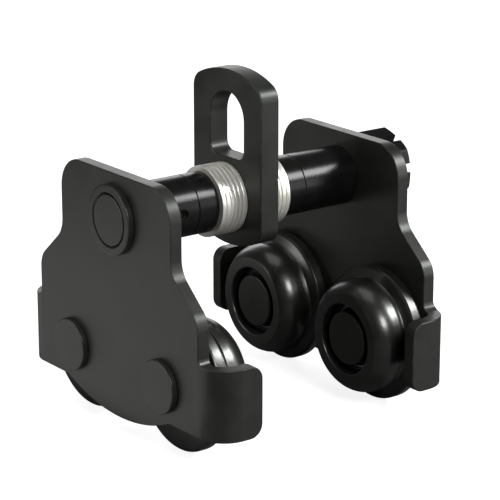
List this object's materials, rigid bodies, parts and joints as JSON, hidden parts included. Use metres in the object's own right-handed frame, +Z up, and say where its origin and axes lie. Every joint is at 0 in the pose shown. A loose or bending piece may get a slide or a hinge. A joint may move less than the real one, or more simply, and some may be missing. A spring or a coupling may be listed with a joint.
{
  "type": "push beam trolley",
  "caption": "Push trolley for an I-beam: two side plates with flanged wheels on bearings, a shaft with sleeves and washers, and a slotted hanger plate.",
  "frame": {"origin": "middle of the footprint, on the surface that the four wheel flanges stand on", "axes": "+Z up towards the hanger plate's eye; +X along the suspension shaft from its ringed head to its nut; Y along the beam, with the front wheels at -Y"},
  "size_m": [0.2106, 0.196, 0.2032],
  "materials": {
    "black_paint": "satin",
    "black_wheel": "satin",
    "black_oxide": "satin",
    "zinc": "gloss",
    "bearing_steel": "polished",
    "spring_steel": "satin"
  },
  "bodies": {
    "frame": {"left_side_plate": "black_paint", "right_side_plate": "black_paint", "suspension_shaft": "black_paint", "shaft_head_ring": "black_paint", "nut_washer": "black_oxide", "castle_nut": "black_oxide", "left_long_sleeve": "black_oxide", "left_short_sleeve": "black_oxide", "right_long_sleeve": "black_oxide", "right_short_sleeve": "black_oxide", "sleeve_spring_pin": "spring_steel", "left_adjusting_washer_1": "zinc", "left_adjusting_washer_2": "zinc", "left_adjusting_washer_3": "zinc", "left_adjusting_washer_4": "zinc", "left_adjusting_washer_5": "zinc", "left_adjusting_washer_6": "zinc", "right_adjusting_washer_1": "zinc", "right_adjusting_washer_2": "zinc", "right_adjusting_washer_3": "zinc", "right_adjusting_washer_4": "zinc", "right_adjusting_washer_5": "zinc", "right_adjusting_washer_6": "zinc", "left_front_bearing_inner_race": "bearing_steel", "left_front_axle_pin": "black_paint", "left_front_retaining_cap": "black_paint", "left_rear_bearing_inner_race": "bearing_steel", "left_rear_axle_pin": "black_paint", "left_rear_retaining_cap": "black_paint", "right_front_bearing_inner_race": "bearing_steel", "right_front_axle_pin": "black_paint", "right_front_retaining_cap": "black_paint", "right_rear_bearing_inner_race": "bearing_steel", "right_rear_axle_pin": "black_paint", "right_rear_retaining_cap": "black_paint"},
    "hanger": {"hanger_plate": "black_paint"},
    "left_front_wheel": {"left_front_wheel": "black_wheel", "left_front_bearing_outer_race": "bearing_steel", "left_front_bearing_shield": "spring_steel", "left_front_snap_ring": "black_oxide"},
    "left_front_ball_cage": {"left_front_ball_cage": "bearing_steel"},
    "left_rear_wheel": {"left_rear_wheel": "black_wheel", "left_rear_bearing_outer_race": "bearing_steel", "left_rear_bearing_shield": "spring_steel", "left_rear_snap_ring": "black_oxide"},
    "left_rear_ball_cage": {"left_rear_ball_cage": "bearing_steel"},
    "right_front_wheel": {"right_front_wheel": "black_wheel", "right_front_bearing_outer_race": "bearing_steel", "right_front_bearing_shield": "spring_steel", "right_front_snap_ring": "black_oxide"},
    "right_front_ball_cage": {"right_front_ball_cage": "bearing_steel"},
    "right_rear_wheel": {"right_rear_wheel": "black_wheel", "right_rear_bearing_outer_race": "bearing_steel", "right_rear_bearing_shield": "spring_steel", "right_rear_snap_ring": "black_oxide"},
    "right_rear_ball_cage": {"right_rear_ball_cage": "bearing_steel"}
  },
  "joints": [
    {"name": "hanger_swing", "type": "hinge", "parent": "frame", "child": "hanger", "pos_m": [-0.01575, 0, 0.1272], "axis": [1, 0, 0], "range_deg": [-90, 90]},
    {"name": "left_front_wheel_spin", "type": "hinge", "parent": "frame", "child": "left_front_wheel", "pos_m": [-0.07665, -0.0453, 0.0407], "axis": [1, 0, 0], "continuous": true},
    {"name": "left_front_cage_spin", "type": "hinge", "parent": "frame", "child": "left_front_ball_cage", "pos_m": [-0.07665, -0.0453, 0.0407], "axis": [1, 0, 0], "continuous": true},
    {"name": "left_rear_wheel_spin", "type": "hinge", "parent": "frame", "child": "left_rear_wheel", "pos_m": [-0.07665, 0.0453, 0.0407], "axis": [1, 0, 0], "continuous": true},
    {"name": "left_rear_cage_spin", "type": "hinge", "parent": "frame", "child": "left_rear_ball_cage", "pos_m": [-0.07665, 0.0453, 0.0407], "axis": [1, 0, 0], "continuous": true},
    {"name": "right_front_wheel_spin", "type": "hinge", "parent": "frame", "child": "right_front_wheel", "pos_m": [0.04515, -0.0453, 0.0407], "axis": [1, 0, 0], "continuous": true},
    {"name": "right_front_cage_spin", "type": "hinge", "parent": "frame", "child": "right_front_ball_cage", "pos_m": [0.04515, -0.0453, 0.0407], "axis": [1, 0, 0], "continuous": true},
    {"name": "right_rear_wheel_spin", "type": "hinge", "parent": "frame", "child": "right_rear_wheel", "pos_m": [0.04515, 0.0453, 0.0407], "axis": [1, 0, 0], "continuous": true},
    {"name": "right_rear_cage_spin", "type": "hinge", "parent": "frame", "child": "right_rear_ball_cage", "pos_m": [0.04515, 0.0453, 0.0407], "axis": [1, 0, 0], "continuous": true}
  ],
  "couplings": [
    {"joint": "left_front_cage_spin", "follows": "left_front_wheel_spin", "ratio": 0.6},
    {"joint": "left_rear_cage_spin", "follows": "left_rear_wheel_spin", "ratio": 0.6},
    {"joint": "right_front_cage_spin", "follows": "right_front_wheel_spin", "ratio": 0.6},
    {"joint": "right_rear_cage_spin", "follows": "right_rear_wheel_spin", "ratio": 0.6}
  ]
}
